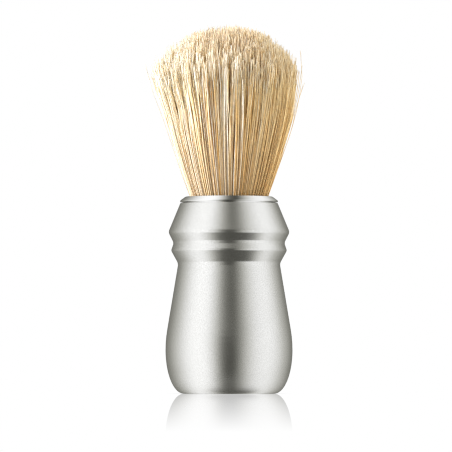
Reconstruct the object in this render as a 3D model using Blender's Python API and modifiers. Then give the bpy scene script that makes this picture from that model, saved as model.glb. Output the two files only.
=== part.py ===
"""Shaving brush: aluminium handle, polished ferrule and a set knot of natural bristle.

Units are metres, +Z is up, and the origin is the centre of the flat base.
Every turned piece shares the Z axis. Pieces that touch on the real brush keep a
small gap (GAP) here, so that each one stays a separate closed solid.
An outline is read from the top of a piece, down its outer side, to its underside.
"""

import math

import bpy
from mathutils import Matrix, Vector

MM = 0.001
GAP = 0.3 * MM                      # clearance kept between neighbouring pieces
FINE_TURN = math.radians(12.5)      # turn covered by one step along a rounding that shows
COARSE_TURN = math.radians(45.0)    # the same, on a hidden rounding
SHARP_ANGLE = math.radians(30.0)
STEPS_LARGE = 60                    # steps round the handle
STEPS_KNOT = 44                     # steps round the bristles and the ferrule
STEPS_SMALL = 24                    # steps round a hidden piece
STEPS_SCREW = 16                    # steps round the screw

# Handle, outside
HANDLE_HEIGHT = 60.0 * MM
MOUTH_RADIUS = 15.35 * MM
MOUTH_EDGE = 0.2 * MM
UPPER_RING = (19.13 * MM, 50.85 * MM)
RING_GROOVE = (17.43 * MM, 47.45 * MM)
LOWER_RING = (18.27 * MM, 45.06 * MM)
RING_ROUNDING = 1.8 * MM
WAIST = (16.01 * MM, 40.96 * MM)
WAIST_ROUNDING = 5.0 * MM
BELLY_RADIUS = 20.0 * MM
BELLY_Z = 13.7 * MM
TAPER_END_Z = 16.95 * MM            # where the straight taper would reach the belly's radius
BELLY_ROUNDING = 38.0 * MM
RIM_RADIUS = 14.3 * MM              # outer radius of the flat rim it stands on
FOOT_STEPS = 9                      # steps along the elliptical foot

# Handle, inside
WALL = 2.6 * MM
SOCKET_RADIUS = 13.4 * MM
SOCKET_FLOOR_Z = 38.6 * MM
SOCKET_ROUNDING = 0.8 * MM
WEB_THICKNESS = 2.4 * MM
SEAT_RADIUS = 14.5 * MM             # recess for the gasket in the mouth
SEAT_DEPTH = 1.0 * MM
BORE_RADIUS = 12.6 * MM             # opening that takes the base plate
LEDGE_RADIUS = 11.9 * MM            # shoulder that stops the base plate
LEDGE_Z = 5.4 * MM
LEDGE_THICKNESS = 1.4 * MM
HOLLOW_FOOT_Z = 9.6 * MM            # where the hollow reaches its full width
CLIP_GROOVE_RADIUS = 13.3 * MM
CLIP_GROOVE_Z = 0.9 * MM
CLIP_GROOVE_HEIGHT = 1.4 * MM

# Ferrule and its gasket
FERRULE_RADIUS = 15.4 * MM
FERRULE_TOP_RADIUS = 13.7 * MM
FERRULE_TOP_Z = 62.05 * MM
FERRULE_EDGE_Z = 60.8 * MM
SLEEVE_RADIUS = 13.1 * MM
SLEEVE_BORE = 12.5 * MM
SLEEVE_FOOT_Z = 40.4 * MM
SLEEVE_WALL = SLEEVE_RADIUS - SLEEVE_BORE
HEM_RADIUS = 11.4 * MM

# Bristles
KNOT_TOP_Z = 115.3 * MM
KNOT_RADIUS = 22.6 * MM
KNOT_WIDEST_Z = 99.5 * MM
KNOT_BOW = 0.305                    # how far the sides bow out of a straight cone
NECK_RADIUS = 12.2 * MM
FOOT_RADIUS = 11.1 * MM
FOOT_TOP_Z = 53.6 * MM
FOOT_Z = 43.4 * MM
DOME_STEPS = 8
SIDE_STEPS = 8

# What holds the bristles
CORE_RADIUS = 4.5 * MM
CORE_TOP_Z = 58.6 * MM
RESIN_RIM_Z = 47.6 * MM
BINDING_FOOT_Z = 48.2 * MM
BINDING_PITCH = 0.6 * MM
BINDING_TURNS = 8
BINDING_RADIUS = 11.75 * MM         # at the valleys between the turns
BINDING_RELIEF = 0.35 * MM          # how far each turn stands out

# Weight, base plate and what fastens them
PAD_RADIUS = 12.3 * MM
PAD_THICKNESS = 0.8 * MM
PAD_GROOVES = (4.8 * MM, 7.4 * MM, 10.0 * MM)
PAD_GROOVE_WIDTH = 0.7 * MM
PAD_GROOVE_DEPTH = 0.3 * MM
CLIP_THICKNESS = 0.8 * MM
CLIP_RADIAL_WIDTH = 2.0 * MM
CLIP_GAP_ANGLE = math.radians(11.0)
CLIP_EAR_ANGLE = math.radians(14.0)
CLIP_EAR_RADIUS = 8.6 * MM
CLIP_HOLE_RADIUS = 0.7 * MM
PLATE_RADIUS = 12.3 * MM
PLATE_FOOT_Z = 2.3 * MM
PLATE_RECESS = (4.3 * MM, 1.1 * MM)  # radius and depth of the recess for the screw's head
SEAL_GROOVE_RADIUS = 11.1 * MM
SEAL_GROOVE_Z = (3.0 * MM, 4.4 * MM)
SEAL_SECTION = 0.4 * MM
WEIGHT_RADIUS = 11.4 * MM
WEIGHT_TOP_Z = 18.4 * MM
TAPPED_DEPTH = 9.6 * MM
SCREW_RADIUS = 1.9 * MM
SCREW_TIP_Z = 13.5 * MM
SCREW_PITCH = 0.7 * MM
SCREW_THREAD_DEPTH = 0.35 * MM
SCREW_HEAD_RADIUS = 3.5 * MM
SCREW_HEAD_Z = (1.2 * MM, 2.4 * MM)
SCREW_HOLE_RADIUS = SCREW_RADIUS + GAP
HEX_RADIUS = 1.45 * MM              # hexagon socket, measured to its corners
HEX_DEPTH = 0.9 * MM
WASHER_RADIUS = 3.9 * MM
WASHER_THICKNESS = 0.4 * MM


# ---------------------------------------------------------------- tools
def clear_scene():
    for obj in list(bpy.data.objects):
        bpy.data.objects.remove(obj, do_unlink=True)


def new_collection(name):
    collection = bpy.data.collections.new(name)
    bpy.context.scene.collection.children.link(collection)
    return collection


def set_material(obj, colour, roughness, metallic=0.0):
    """Gives a piece its own Principled material."""
    material = bpy.data.materials.new(obj.name + "_material")
    material.use_nodes = True
    shader = material.node_tree.nodes["Principled BSDF"]
    shader.inputs["Base Color"].default_value = (*colour, 1.0)
    shader.inputs["Roughness"].default_value = roughness
    shader.inputs["Metallic"].default_value = metallic
    obj.data.materials.clear()
    obj.data.materials.append(material)


def rounded_outline(corners, closed=False, step_turn=COARSE_TURN):
    """Points along an outline of (radius, z, rounding) corners, with an arc at each rounded one."""
    points = []
    count = len(corners)
    for index, (radius, z, rounding) in enumerate(corners):
        corner = Vector((radius, z))
        is_end = not closed and index in (0, count - 1)
        if rounding == 0.0 or is_end:
            points.append(corner)
            continue
        to_before = (Vector(corners[index - 1][:2]) - corner).normalized()
        to_after = (Vector(corners[(index + 1) % count][:2]) - corner).normalized()
        half_angle = to_before.angle(to_after) / 2.0
        reach = rounding / math.tan(half_angle)
        centre = corner + (to_before + to_after).normalized() * rounding / math.sin(half_angle)
        first_spoke = corner + to_before * reach - centre
        last_spoke = corner + to_after * reach - centre
        turn = math.atan2(first_spoke.cross(last_spoke), first_spoke.dot(last_spoke))
        steps = max(2, math.ceil(abs(turn) / step_turn))
        for step in range(steps + 1):
            points.append(centre + Matrix.Rotation(turn * step / steps, 2) @ first_spoke)
    return points


def elliptical_arc(centre, radii, start, end, steps):
    """Points on an ellipse, from one angle to another."""
    angles = [start + (end - start) * step / steps for step in range(steps + 1)]
    return [
        Vector((centre[0] + radii[0] * math.cos(angle), centre[1] + radii[1] * math.sin(angle)))
        for angle in angles
    ]


def bake_shape(obj):
    """Turns a piece's modifiers into its mesh, and shades it smooth between its sharp edges."""
    evaluated = obj.evaluated_get(bpy.context.evaluated_depsgraph_get())
    mesh = bpy.data.meshes.new_from_object(evaluated)
    obj.modifiers.clear()
    obj.data = mesh
    mesh.shade_smooth()
    mesh.set_sharp_from_angle(angle=SHARP_ANGLE)


def turned(name, collection, outline, steps, closed=False):
    """A piece turned round the Z axis from its outline. A closed outline makes a ring."""
    mesh = bpy.data.meshes.new(name)
    edges = [(index, index + 1) for index in range(len(outline) - 1)]
    if closed:
        edges.append((len(outline) - 1, 0))
    mesh.from_pydata([(point.x, 0.0, point.y) for point in outline], edges, [])
    obj = bpy.data.objects.new(name, mesh)
    collection.objects.link(obj)
    screw = obj.modifiers.new("Turning", "SCREW")
    screw.axis = "Z"
    screw.angle = math.tau
    screw.steps = steps
    screw.render_steps = steps
    screw.use_merge_vertices = True
    screw.merge_threshold = 0.01 * MM
    bpy.context.view_layer.update()
    bake_shape(obj)
    return obj


def flat_plate(name, collection, outlines, z_low, thickness):
    """A flat piece cut to closed outlines in plan. Every outline after the first is a hole."""
    curve = bpy.data.curves.new(name, "CURVE")
    curve.dimensions = "2D"
    curve.fill_mode = "BOTH"
    curve.extrude = thickness / 2.0
    for outline in outlines:
        spline = curve.splines.new("POLY")
        spline.points.add(len(outline) - 1)
        for point, place in zip(spline.points, outline):
            point.co = (place.x, place.y, 0.0, 1.0)
        spline.use_cyclic_u = True
    guide = bpy.data.objects.new(name + "_guide", curve)
    collection.objects.link(guide)
    guide.location.z = z_low + thickness / 2.0
    weld = guide.modifiers.new("Weld", "WELD")
    weld.merge_threshold = 0.01 * MM
    bpy.context.view_layer.update()
    evaluated = guide.evaluated_get(bpy.context.evaluated_depsgraph_get())
    obj = bpy.data.objects.new(name, bpy.data.meshes.new_from_object(evaluated))
    obj.matrix_world = guide.matrix_world
    collection.objects.link(obj)
    bpy.data.objects.remove(guide, do_unlink=True)
    obj.data.set_sharp_from_angle(angle=SHARP_ANGLE)
    return obj


def polar(radius, angle):
    return Vector((radius * math.cos(angle), radius * math.sin(angle)))


def polar_arc(radius, start, end, steps):
    return [polar(radius, start + (end - start) * step / steps) for step in range(steps + 1)]


# ---------------------------------------------------------------- handle
def make_handle_shell(collection):
    seat_z = HANDLE_HEIGHT - SEAT_DEPTH
    socket = rounded_outline([
        (0.0, SOCKET_FLOOR_Z, 0.0),
        (SOCKET_RADIUS, SOCKET_FLOOR_Z, SOCKET_ROUNDING),
        (SOCKET_RADIUS, seat_z, 0.0),
        (SEAT_RADIUS, seat_z, 0.0),
    ])
    side = rounded_outline([
        (SEAT_RADIUS, HANDLE_HEIGHT, 0.0),
        (MOUTH_RADIUS, HANDLE_HEIGHT, MOUTH_EDGE),
        (*UPPER_RING, RING_ROUNDING),
        (*RING_GROOVE, RING_ROUNDING),
        (*LOWER_RING, RING_ROUNDING),
        (*WAIST, WAIST_ROUNDING),
        (BELLY_RADIUS, TAPER_END_Z, BELLY_ROUNDING),
        (BELLY_RADIUS, BELLY_Z, 0.0),
    ], step_turn=FINE_TURN)
    foot = elliptical_arc(
        centre=(RIM_RADIUS, BELLY_Z),
        radii=(BELLY_RADIUS - RIM_RADIUS, BELLY_Z),
        start=0.0,
        end=-math.pi / 2.0,
        steps=FOOT_STEPS,
    )
    hollow_top_z = SOCKET_FLOOR_Z - WEB_THICKNESS
    hollow_radius = BELLY_RADIUS - WALL
    taper = (BELLY_RADIUS - WAIST[0]) / (WAIST[1] - TAPER_END_Z)
    hollow_top_radius = hollow_radius - taper * (hollow_top_z - TAPER_END_Z)
    clip_top_z = CLIP_GROOVE_Z + CLIP_GROOVE_HEIGHT
    hollow = rounded_outline([
        (BORE_RADIUS, 0.0, 0.0),
        (BORE_RADIUS, CLIP_GROOVE_Z, 0.0),
        (CLIP_GROOVE_RADIUS, CLIP_GROOVE_Z, 0.0),
        (CLIP_GROOVE_RADIUS, clip_top_z, 0.0),
        (BORE_RADIUS, clip_top_z, 0.0),
        (BORE_RADIUS, LEDGE_Z, 0.0),
        (LEDGE_RADIUS, LEDGE_Z, 0.0),
        (LEDGE_RADIUS, LEDGE_Z + LEDGE_THICKNESS, 0.0),
        (hollow_radius, HOLLOW_FOOT_Z, 3.0 * MM),
        (hollow_radius, TAPER_END_Z, 20.0 * MM),
        (hollow_top_radius, hollow_top_z, 1.5 * MM),
        (0.0, hollow_top_z, 0.0),
    ])
    shell = turned("handle_shell", collection, socket + side + foot[1:] + hollow, STEPS_LARGE)
    set_material(shell, (0.66, 0.66, 0.64), 0.32, metallic=1.0)


# ---------------------------------------------------------------- ferrule
def make_ferrule(collection):
    flange_z = HANDLE_HEIGHT + GAP
    outline = rounded_outline([
        (SLEEVE_BORE, FERRULE_TOP_Z, 0.25 * MM),
        (FERRULE_TOP_RADIUS, FERRULE_TOP_Z, 0.9 * MM),
        (FERRULE_RADIUS, FERRULE_EDGE_Z, 0.5 * MM),
        (FERRULE_RADIUS, flange_z, 0.0),
        (SLEEVE_RADIUS, flange_z, 0.0),
        (SLEEVE_RADIUS, SLEEVE_FOOT_Z, 0.5 * MM),
        (HEM_RADIUS, SLEEVE_FOOT_Z, 0.0),
        (HEM_RADIUS, SLEEVE_FOOT_Z + SLEEVE_WALL, 0.0),
        (SLEEVE_BORE, SLEEVE_FOOT_Z + SLEEVE_WALL, 0.0),
    ], closed=True, step_turn=2.0 * FINE_TURN)
    ferrule = turned("ferrule", collection, outline, STEPS_KNOT, closed=True)
    set_material(ferrule, (0.78, 0.78, 0.77), 0.08, metallic=1.0)


def make_flat_ring(name, collection, inner, outer, z_low, z_high):
    """A flat ring, such as a washer or a gasket."""
    places = [(inner, z_high), (outer, z_high), (outer, z_low), (inner, z_low)]
    outline = [Vector(place) for place in places]
    return turned(name, collection, outline, STEPS_SMALL, closed=True)


def make_ferrule_gasket(collection):
    gasket = make_flat_ring(
        "ferrule_gasket",
        collection,
        inner=SLEEVE_RADIUS + GAP,
        outer=SEAT_RADIUS - GAP,
        z_low=HANDLE_HEIGHT - SEAT_DEPTH + GAP,
        z_high=HANDLE_HEIGHT,
    )
    set_material(gasket, (0.03, 0.03, 0.03), 0.6)


def make_socket_adhesive(collection):
    top_z = SLEEVE_FOOT_Z - GAP
    outline = rounded_outline([
        (0.0, top_z, 0.0),
        (SOCKET_RADIUS - GAP, top_z, 0.25 * MM),
        (SOCKET_RADIUS - GAP, SOCKET_FLOOR_Z + GAP, SOCKET_ROUNDING - GAP),
        (0.0, SOCKET_FLOOR_Z + GAP, 0.0),
    ])
    adhesive = turned("socket_adhesive", collection, outline, STEPS_SMALL)
    set_material(adhesive, (0.62, 0.50, 0.28), 0.25)


# ---------------------------------------------------------------- bristle knot
def make_bristle_bundle(collection):
    dome = elliptical_arc(
        centre=(0.0, KNOT_WIDEST_Z),
        radii=(KNOT_RADIUS, KNOT_TOP_Z - KNOT_WIDEST_Z),
        start=math.pi / 2.0,
        end=0.0,
        steps=DOME_STEPS,
    )
    dome[0].x = 0.0
    side = []
    for step in range(1, SIDE_STEPS + 1):
        height = 1.0 - step / SIDE_STEPS
        spread = height + KNOT_BOW * height * (1.0 - height)
        radius = NECK_RADIUS + (KNOT_RADIUS - NECK_RADIUS) * spread
        side.append(Vector((radius, FERRULE_TOP_Z + (KNOT_WIDEST_Z - FERRULE_TOP_Z) * height)))
    core_bore = CORE_RADIUS + GAP
    foot = rounded_outline([
        (NECK_RADIUS, FOOT_TOP_Z + 1.6 * MM, 0.0),
        (FOOT_RADIUS, FOOT_TOP_Z, 0.0),
        (FOOT_RADIUS, FOOT_Z, 0.0),
        (core_bore, FOOT_Z, 0.0),
        (core_bore, CORE_TOP_Z + GAP, 0.0),
        (0.0, CORE_TOP_Z + GAP, 0.0),
    ])
    bundle = turned("bristle_bundle", collection, dome + side + foot, STEPS_KNOT)
    set_material(bundle, (0.84, 0.70, 0.45), 0.7)


def make_root_binding(collection):
    inner = FOOT_RADIUS + GAP
    top_z = BINDING_FOOT_Z + BINDING_PITCH * BINDING_TURNS
    outline = [Vector((inner, top_z)), Vector((BINDING_RADIUS, top_z))]
    for turn in range(BINDING_TURNS):
        crest_z = top_z - BINDING_PITCH * (turn + 0.5)
        valley_z = top_z - BINDING_PITCH * (turn + 1)
        outline.append(Vector((BINDING_RADIUS + BINDING_RELIEF, crest_z)))
        outline.append(Vector((BINDING_RADIUS, valley_z)))
    outline.append(Vector((inner, BINDING_FOOT_Z)))
    binding = turned("root_binding", collection, outline, STEPS_SMALL, closed=True)
    set_material(binding, (0.80, 0.76, 0.66), 0.9)


def make_resin_plug(collection):
    recess_radius = FOOT_RADIUS + GAP
    outline = rounded_outline([
        (0.0, FOOT_Z - GAP, 0.0),
        (recess_radius, FOOT_Z - GAP, 0.0),
        (recess_radius, RESIN_RIM_Z, 0.0),
        (SLEEVE_BORE - GAP, RESIN_RIM_Z, 0.2 * MM),
        (SLEEVE_BORE - GAP, SLEEVE_FOOT_Z + SLEEVE_WALL + GAP, 0.4 * MM),
        (0.0, SLEEVE_FOOT_Z + SLEEVE_WALL + GAP, 0.0),
    ])
    plug = turned("resin_plug", collection, outline, STEPS_SMALL)
    set_material(plug, (0.55, 0.36, 0.14), 0.2)


def make_core_plug(collection):
    outline = rounded_outline([
        (0.0, CORE_TOP_Z, 0.0),
        (CORE_RADIUS, CORE_TOP_Z, 2.0 * MM),
        (CORE_RADIUS, FOOT_Z, 0.4 * MM),
        (0.0, FOOT_Z, 0.0),
    ])
    core = turned("core_plug", collection, outline, STEPS_SMALL)
    set_material(core, (0.60, 0.42, 0.24), 0.7)


# ---------------------------------------------------------------- weight and base
def make_balance_weight(collection):
    foot_z = LEDGE_Z
    tapped_top_z = foot_z + TAPPED_DEPTH
    outline = rounded_outline([
        (0.0, WEIGHT_TOP_Z, 0.0),
        (WEIGHT_RADIUS, WEIGHT_TOP_Z, 1.0 * MM),
        (WEIGHT_RADIUS, foot_z, 0.4 * MM),
        (SCREW_HOLE_RADIUS, foot_z, 0.0),
        (SCREW_HOLE_RADIUS, tapped_top_z, 0.0),
        (0.0, tapped_top_z + SCREW_HOLE_RADIUS / 2.0, 0.0),
    ])
    weight = turned("balance_weight", collection, outline, STEPS_SMALL)
    set_material(weight, (0.42, 0.42, 0.43), 0.45, metallic=1.0)


def make_weight_screw(collection, cutters):
    head_low, head_high = SCREW_HEAD_Z
    outline = [Vector((0.0, SCREW_TIP_Z)), Vector((SCREW_RADIUS - SCREW_THREAD_DEPTH, SCREW_TIP_Z))]
    crest_z = SCREW_TIP_Z - SCREW_PITCH / 2.0
    while crest_z - SCREW_PITCH > LEDGE_Z:
        outline.append(Vector((SCREW_RADIUS, crest_z)))
        outline.append(Vector((SCREW_RADIUS - SCREW_THREAD_DEPTH, crest_z - SCREW_PITCH / 2.0)))
        crest_z -= SCREW_PITCH
    outline.append(Vector((SCREW_RADIUS, crest_z)))
    outline += rounded_outline([
        (SCREW_RADIUS, head_high, 0.0),
        (SCREW_HEAD_RADIUS, head_high, 0.15 * MM),
        (SCREW_HEAD_RADIUS, head_low, 0.7 * MM),
        (0.0, head_low, 0.0),
    ])
    screw = turned("weight_screw", collection, outline, STEPS_SCREW)
    bpy.ops.mesh.primitive_cylinder_add(vertices=6, radius=HEX_RADIUS, depth=2.0 * HEX_DEPTH)
    cutter = bpy.context.object
    cutter.name = "hex_socket_cutter"
    cutter.location.z = head_low
    for collection_in_use in list(cutter.users_collection):
        collection_in_use.objects.unlink(cutter)
    cutters.objects.link(cutter)
    cutter.hide_render = True
    cutter.display_type = "WIRE"
    cut = screw.modifiers.new("Hexagon socket", "BOOLEAN")
    cut.operation = "DIFFERENCE"
    cut.object = cutter
    cut.solver = "EXACT"
    set_material(screw, (0.55, 0.55, 0.56), 0.3, metallic=1.0)


def make_screw_washer(collection):
    recess_top_z = PLATE_FOOT_Z + PLATE_RECESS[1]
    washer = make_flat_ring(
        "screw_washer",
        collection,
        inner=SCREW_HOLE_RADIUS,
        outer=WASHER_RADIUS,
        z_low=recess_top_z - GAP - WASHER_THICKNESS,
        z_high=recess_top_z - GAP,
    )
    set_material(washer, (0.05, 0.05, 0.05), 0.55)


def make_base_plate(collection):
    top_z = LEDGE_Z - GAP
    groove_low, groove_high = SEAL_GROOVE_Z
    recess_radius, recess_depth = PLATE_RECESS
    outline = rounded_outline([
        (SCREW_HOLE_RADIUS, top_z, 0.0),
        (PLATE_RADIUS, top_z, 0.2 * MM),
        (PLATE_RADIUS, groove_high, 0.0),
        (SEAL_GROOVE_RADIUS, groove_high, 0.0),
        (SEAL_GROOVE_RADIUS, groove_low, 0.0),
        (PLATE_RADIUS, groove_low, 0.0),
        (PLATE_RADIUS, PLATE_FOOT_Z, 0.2 * MM),
        (recess_radius, PLATE_FOOT_Z, 0.0),
        (recess_radius, PLATE_FOOT_Z + recess_depth, 0.0),
        (SCREW_HOLE_RADIUS, PLATE_FOOT_Z + recess_depth, 0.0),
    ], closed=True)
    plate = turned("base_plate", collection, outline, STEPS_SMALL, closed=True)
    set_material(plate, (0.60, 0.60, 0.60), 0.4, metallic=1.0)


def make_base_seal(collection):
    bpy.ops.mesh.primitive_torus_add(
        major_segments=STEPS_SMALL,
        minor_segments=8,
        major_radius=SEAL_GROOVE_RADIUS + GAP + SEAL_SECTION,
        minor_radius=SEAL_SECTION,
        location=(0.0, 0.0, sum(SEAL_GROOVE_Z) / 2.0),
    )
    seal = bpy.context.object
    seal.name = "base_seal"
    for collection_in_use in list(seal.users_collection):
        collection_in_use.objects.unlink(seal)
    collection.objects.link(seal)
    seal.data.shade_smooth()
    set_material(seal, (0.03, 0.03, 0.03), 0.55)


def make_retaining_ring(collection):
    """A split ring with two eared ends, which snaps into the groove under the base plate."""
    outer = CLIP_GROOVE_RADIUS - GAP
    inner = outer - CLIP_RADIAL_WIDTH
    end = CLIP_GAP_ANGLE
    ear = CLIP_GAP_ANGLE + CLIP_EAR_ANGLE
    body = polar_arc(outer, end, math.tau - end, STEPS_SMALL)
    body += polar_arc(CLIP_EAR_RADIUS, math.tau - end, math.tau - ear, 3)
    body += polar_arc(inner, math.tau - ear, ear, STEPS_SMALL)
    body += polar_arc(CLIP_EAR_RADIUS, ear, end, 3)
    outlines = [body]
    for side in (-1.0, 1.0):
        ear_centre = polar((CLIP_EAR_RADIUS + inner) / 2.0, side * (end + ear) / 2.0)
        hole = polar_arc(CLIP_HOLE_RADIUS, 0.0, math.tau, 12)[:-1]
        outlines.append([ear_centre + point for point in hole])
    ring_z = CLIP_GROOVE_Z + (CLIP_GROOVE_HEIGHT - CLIP_THICKNESS) / 2.0
    ring = flat_plate("retaining_ring", collection, outlines, ring_z, CLIP_THICKNESS)
    set_material(ring, (0.35, 0.35, 0.36), 0.35, metallic=1.0)


def make_base_pad(collection):
    corners = [(0.0, PAD_THICKNESS, 0.0), (PAD_RADIUS, PAD_THICKNESS, 0.15 * MM), (PAD_RADIUS, 0.0, 0.0)]
    for groove_radius in reversed(PAD_GROOVES):
        corners += [
            (groove_radius + PAD_GROOVE_WIDTH, 0.0, 0.0),
            (groove_radius + PAD_GROOVE_WIDTH, PAD_GROOVE_DEPTH, 0.0),
            (groove_radius, PAD_GROOVE_DEPTH, 0.0),
            (groove_radius, 0.0, 0.0),
        ]
    corners.append((0.0, 0.0, 0.0))
    pad = turned("base_pad", collection, rounded_outline(corners), STEPS_SMALL)
    set_material(pad, (0.025, 0.025, 0.025), 0.8)


# ---------------------------------------------------------------- assembly
def main():
    clear_scene()
    brush = new_collection("shaving_brush")
    cutters = new_collection("cutters")
    make_handle_shell(brush)
    make_ferrule(brush)
    make_ferrule_gasket(brush)
    make_socket_adhesive(brush)
    make_bristle_bundle(brush)
    make_root_binding(brush)
    make_resin_plug(brush)
    make_core_plug(brush)
    make_balance_weight(brush)
    make_weight_screw(brush, cutters)
    make_screw_washer(brush)
    make_base_plate(brush)
    make_base_seal(brush)
    make_retaining_ring(brush)
    make_base_pad(brush)


main()
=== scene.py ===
import math

import bpy
import numpy as np
from mathutils import Matrix, Vector


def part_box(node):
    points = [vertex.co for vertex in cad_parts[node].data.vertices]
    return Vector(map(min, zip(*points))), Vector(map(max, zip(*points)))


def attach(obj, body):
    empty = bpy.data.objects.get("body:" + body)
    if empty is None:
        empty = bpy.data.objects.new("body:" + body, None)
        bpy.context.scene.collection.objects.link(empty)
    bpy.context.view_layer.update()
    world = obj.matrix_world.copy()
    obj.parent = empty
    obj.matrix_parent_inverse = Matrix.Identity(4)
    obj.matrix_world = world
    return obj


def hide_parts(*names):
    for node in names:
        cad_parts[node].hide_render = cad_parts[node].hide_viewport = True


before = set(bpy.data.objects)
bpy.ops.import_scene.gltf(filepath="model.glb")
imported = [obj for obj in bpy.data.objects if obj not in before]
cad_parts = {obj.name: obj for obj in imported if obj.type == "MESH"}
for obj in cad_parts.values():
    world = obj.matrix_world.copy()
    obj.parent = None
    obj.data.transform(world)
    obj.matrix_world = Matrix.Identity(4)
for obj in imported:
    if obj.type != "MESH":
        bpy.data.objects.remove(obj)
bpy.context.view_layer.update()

MM = 0.001
SEED = 20240917                # keeps every run the same
rng = np.random.default_rng(SEED)

# ---------------------------------------------------------------- places read from the frame
FERRULE_LOW, FERRULE_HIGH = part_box("ferrule")
HANDLE_LOW, HANDLE_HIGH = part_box("handle_shell")
KNOT_LOW, KNOT_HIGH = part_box("bristle_bundle")
CORE_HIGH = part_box("core_plug")[1]
COLLAR_Z = FERRULE_HIGH.z
HANDLE_TOP_Z = HANDLE_HIGH.z
GAP = 0.3 * MM                 # clearance that neighbouring pieces keep


# ---------------------------------------------------------------- node helpers
def add_node(tree, kind, **settings):
    node = tree.nodes.new(kind)
    for name, value in settings.items():
        setattr(node, name, value)
    return node


def feed(tree, socket, value):
    """Links a socket to another, or sets its number or colour."""
    if isinstance(value, bpy.types.NodeSocket):
        tree.links.new(value, socket)
    else:
        socket.default_value = value


def calc(tree, operation, *values, clamp=False):
    node = add_node(tree, "ShaderNodeMath", operation=operation, use_clamp=clamp)
    for socket, value in zip(node.inputs, values):
        feed(tree, socket, value)
    return node.outputs[0]


def vector_calc(tree, operation, *values):
    node = add_node(tree, "ShaderNodeVectorMath", operation=operation)
    for socket, value in zip(node.inputs, values):
        feed(tree, socket, value)
    return node.outputs["Value" if operation == "LENGTH" else "Vector"]


def split(tree, vector):
    """A vector's X, Y and Z."""
    node = add_node(tree, "ShaderNodeSeparateXYZ")
    feed(tree, node.inputs[0], vector)
    return node.outputs


def from_axis(tree, place):
    """The level vector from the brush's axis to a place."""
    return vector_calc(tree, "MULTIPLY", place, (1.0, 1.0, 0.0))


def remap(tree, value, from_low, from_high, to_low=0.0, to_high=1.0):
    """A smooth step from one range of numbers to another, held at both ends."""
    node = add_node(tree, "ShaderNodeMapRange", interpolation_type="SMOOTHSTEP")
    for name, number in (
        ("Value", value),
        ("From Min", from_low),
        ("From Max", from_high),
        ("To Min", to_low),
        ("To Max", to_high),
    ):
        feed(tree, node.inputs[name], number)
    return node.outputs["Result"]


def blend(tree, factor, first, second, mode="MIX"):
    node = add_node(tree, "ShaderNodeMix", data_type="RGBA", blend_type=mode)
    feed(tree, node.inputs[0], factor)
    feed(tree, node.inputs[6], first)
    feed(tree, node.inputs[7], second)
    return node.outputs[2]


def blend_directions(tree, factor, first, second):
    node = add_node(tree, "ShaderNodeMix", data_type="VECTOR")
    feed(tree, node.inputs[0], factor)
    feed(tree, node.inputs[4], first)
    feed(tree, node.inputs[5], second)
    return node.outputs[1]


def grey(value):
    return (value, value, value, 1.0)


def ramp(tree, factor, stops):
    """A colour ramp over stops of (place, colour)."""
    node = add_node(tree, "ShaderNodeValToRGB")
    elements = node.color_ramp.elements
    while len(elements) < len(stops):
        elements.new(0.5)
    for element, (place, colour) in zip(elements, stops):
        element.position = place
        element.color = colour
    feed(tree, node.inputs[0], factor)
    return node.outputs[0]


def noise(tree, vector, scale, detail=3.0):
    node = add_node(tree, "ShaderNodeTexNoise")
    feed(tree, node.inputs["Vector"], vector)
    node.inputs["Scale"].default_value = scale
    node.inputs["Detail"].default_value = detail
    return node.outputs["Fac"]


def bump(tree, height, strength, distance):
    node = add_node(tree, "ShaderNodeBump")
    node.inputs["Strength"].default_value = strength
    node.inputs["Distance"].default_value = distance
    feed(tree, node.inputs["Height"], height)
    return node.outputs["Normal"]


def new_material(name):
    """A material with its tree, its shader and its object coordinates."""
    material = bpy.data.materials.new(name)
    material.use_nodes = True
    tree = material.node_tree
    shader = tree.nodes["Principled BSDF"]
    place = add_node(tree, "ShaderNodeTexCoord").outputs["Object"]
    return material, tree, shader, place


# ---------------------------------------------------------------- camera, floor and light
CAMERA_DISTANCE = 1.65
CAMERA_HEIGHT = 10.7 * MM
FRAME_WIDTH = 142.4 * MM       # what the picture's width covers at the brush's axis
AIM = Vector((-0.95 * MM, 0.0, 52.8 * MM))
SENSOR_WIDTH = 36.0


def make_camera():
    data = bpy.data.cameras.new("camera")
    data.sensor_width = SENSOR_WIDTH
    data.lens = SENSOR_WIDTH * CAMERA_DISTANCE / FRAME_WIDTH
    data.clip_start = 0.05
    data.clip_end = 30.0
    camera = bpy.data.objects.new("camera", data)
    camera.location = (AIM.x, -CAMERA_DISTANCE, CAMERA_HEIGHT)
    camera.rotation_euler = (AIM - camera.location).to_track_quat("-Z", "Y").to_euler()
    bpy.context.scene.collection.objects.link(camera)
    bpy.context.scene.camera = camera


# Brightness of the studio by azimuth in degrees: 0 is the camera's side, and it grows to the right.
STUDIO_LEVEL = (
    (-180, 0.14), (-160, 0.20), (-136, 0.33), (-113, 0.60), (-96, 0.88), (-80, 1.12), (-66, 1.22),
    (-53, 1.22), (-42, 1.14), (-31, 0.86), (-21, 0.48), (-12, 0.16), (-4, 0.075), (8, 0.07),
    (14, 0.14), (24, 0.40), (35, 0.68), (46, 0.90), (58, 1.03), (71, 1.08), (85, 1.05),
    (101, 0.86), (120, 0.55), (148, 0.25), (180, 0.14),
)
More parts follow.
